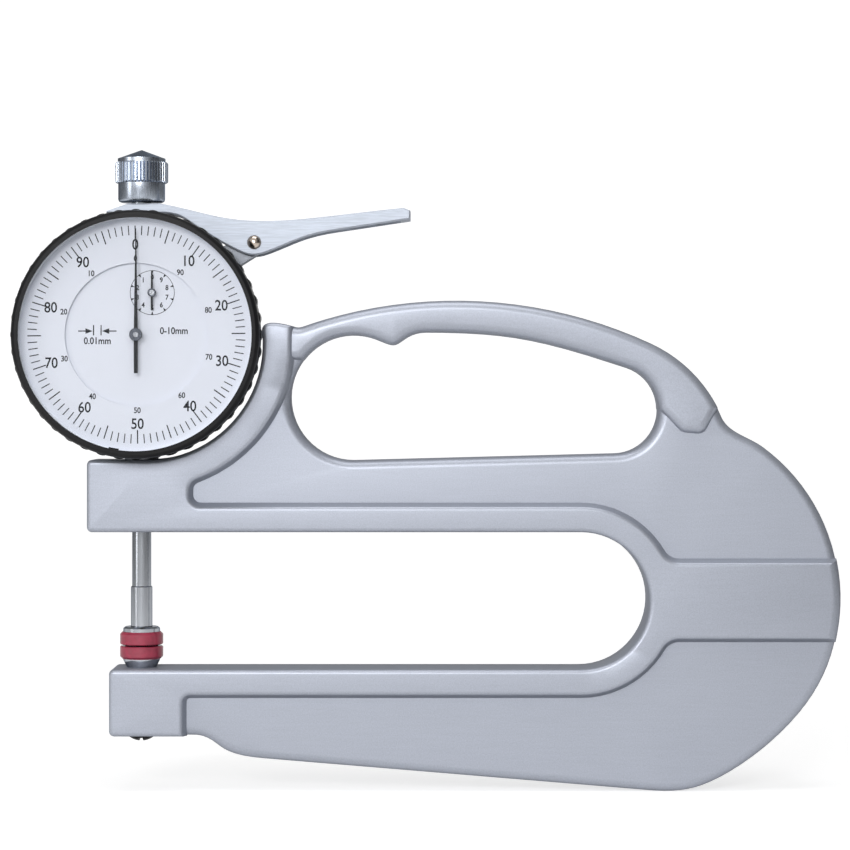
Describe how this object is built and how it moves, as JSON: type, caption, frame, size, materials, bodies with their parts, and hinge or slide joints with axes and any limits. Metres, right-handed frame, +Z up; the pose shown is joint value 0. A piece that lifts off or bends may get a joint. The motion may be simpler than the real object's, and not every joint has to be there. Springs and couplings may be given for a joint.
{
  "type": "thickness gauge",
  "caption": "Handheld dial thickness gauge: deep-throat cast frame with grip, dial with turning bezel, sprung spindle, anvil and lifting lever.",
  "frame": {"origin": "below the centre of the whole gauge, at the height of the frame's lowest point", "axes": "+X along the throat from the spindle to the closed end, +Y from the dial towards the back, +Z up along the spindle"},
  "size_m": [0.1944, 0.0238, 0.1517],
  "materials": {
    "frame_paint": "satin hammered paint",
    "contact_red": "satin",
    "steel": "ground",
    "cap_steel": "polished",
    "dark_steel": "blackened",
    "hairspring_steel": "blued",
    "case_metal": "satin",
    "bezel_black": "satin",
    "crystal_clear": "polished",
    "spacer_white": "satin",
    "dial_white": "matt print",
    "hand_black": "satin",
    "movement_brass": "satin",
    "lever_alloy": "satin"
  },
  "bodies": {
    "base": {"frame": "frame_paint", "anvil": "steel", "anvil_ring": "contact_red", "anvil_screw": "dark_steel", "stem_clamp_screw": "dark_steel", "case": "case_metal", "stem": "steel", "lower_bush": "movement_brass", "upper_bush": "movement_brass", "back_cover": "case_metal", "back_cover_screws": "dark_steel", "front_plate": "movement_brass", "plate_screws": "dark_steel", "bridge_plate": "movement_brass", "bridge_pillars": "movement_brass", "bridge_screws": "dark_steel", "pinion_cock": "movement_brass", "cock_screw": "dark_steel", "inner_dial": "dial_white", "spring_post": "steel", "return_spring": "dark_steel", "hairspring": "hairspring_steel", "hairspring_stud": "movement_brass", "bezel_wire": "dark_steel", "lever_pin": "movement_brass"},
    "bezel_group": {"bezel": "bezel_black", "crystal": "crystal_clear", "dial_spacer": "spacer_white", "outer_dial": "dial_white"},
    "main_hand_group": {"centre_arbor": "steel", "main_hand": "hand_black", "main_hand_hub": "steel"},
    "rack_group": {"rack_arbor": "steel", "rack_wheel": "movement_brass"},
    "counter_group": {"takeup_arbor": "steel", "takeup_wheel": "movement_brass", "counter_hand": "hand_black", "counter_hand_hub": "steel"},
    "spindle_group": {"spindle": "steel", "guide_pin": "steel", "spindle_cap": "cap_steel", "contact_adapter": "steel", "spindle_contact": "steel", "spindle_ring": "contact_red"},
    "lever_group": {"lifting_lever": "lever_alloy"}
  },
  "joints": [
    {"name": "spindle_lift", "type": "slide", "parent": "base", "child": "spindle_group", "axis": [0, 0, 1], "range_m": [0, 0.01], "stiffness_N_per_m": 60, "springref_m": -0.015, "deforming": ["return_spring"]},
    {"name": "lever_press", "type": "hinge", "parent": "base", "child": "lever_group", "pos_m": [-0.04092, 0.0039, 0.12947], "axis": [0, 1, 0], "range_deg": [0, 21.5]},
    {"name": "main_hand_turn", "type": "hinge", "parent": "base", "child": "main_hand_group", "pos_m": [-0.06792, -0.0061, 0.10756], "axis": [0, 1, 0], "range_deg": [0, 3600]},
    {"name": "rack_pinion_turn", "type": "hinge", "parent": "base", "child": "rack_group", "pos_m": [-0.07157, -0.0011, 0.09777], "axis": [0, 1, 0], "range_deg": [-360, 0]},
    {"name": "counter_hand_turn", "type": "hinge", "parent": "base", "child": "counter_group", "pos_m": [-0.06428, -0.0041, 0.11736], "axis": [0, 1, 0], "range_deg": [-360, 0]},
    {"name": "bezel_turn", "type": "hinge", "parent": "base", "child": "bezel_group", "pos_m": [-0.06792, -0.0081, 0.10756], "axis": [0, 1, 0], "continuous": true}
  ],
  "couplings": [
    {"joint": "lever_press", "follows": "spindle_lift", "rad_per_m": 37.5},
    {"joint": "main_hand_turn", "follows": "spindle_lift", "rad_per_m": 6283.2},
    {"joint": "rack_pinion_turn", "follows": "spindle_lift", "rad_per_m": -628.32},
    {"joint": "counter_hand_turn", "follows": "spindle_lift", "rad_per_m": -628.32}
  ]
}
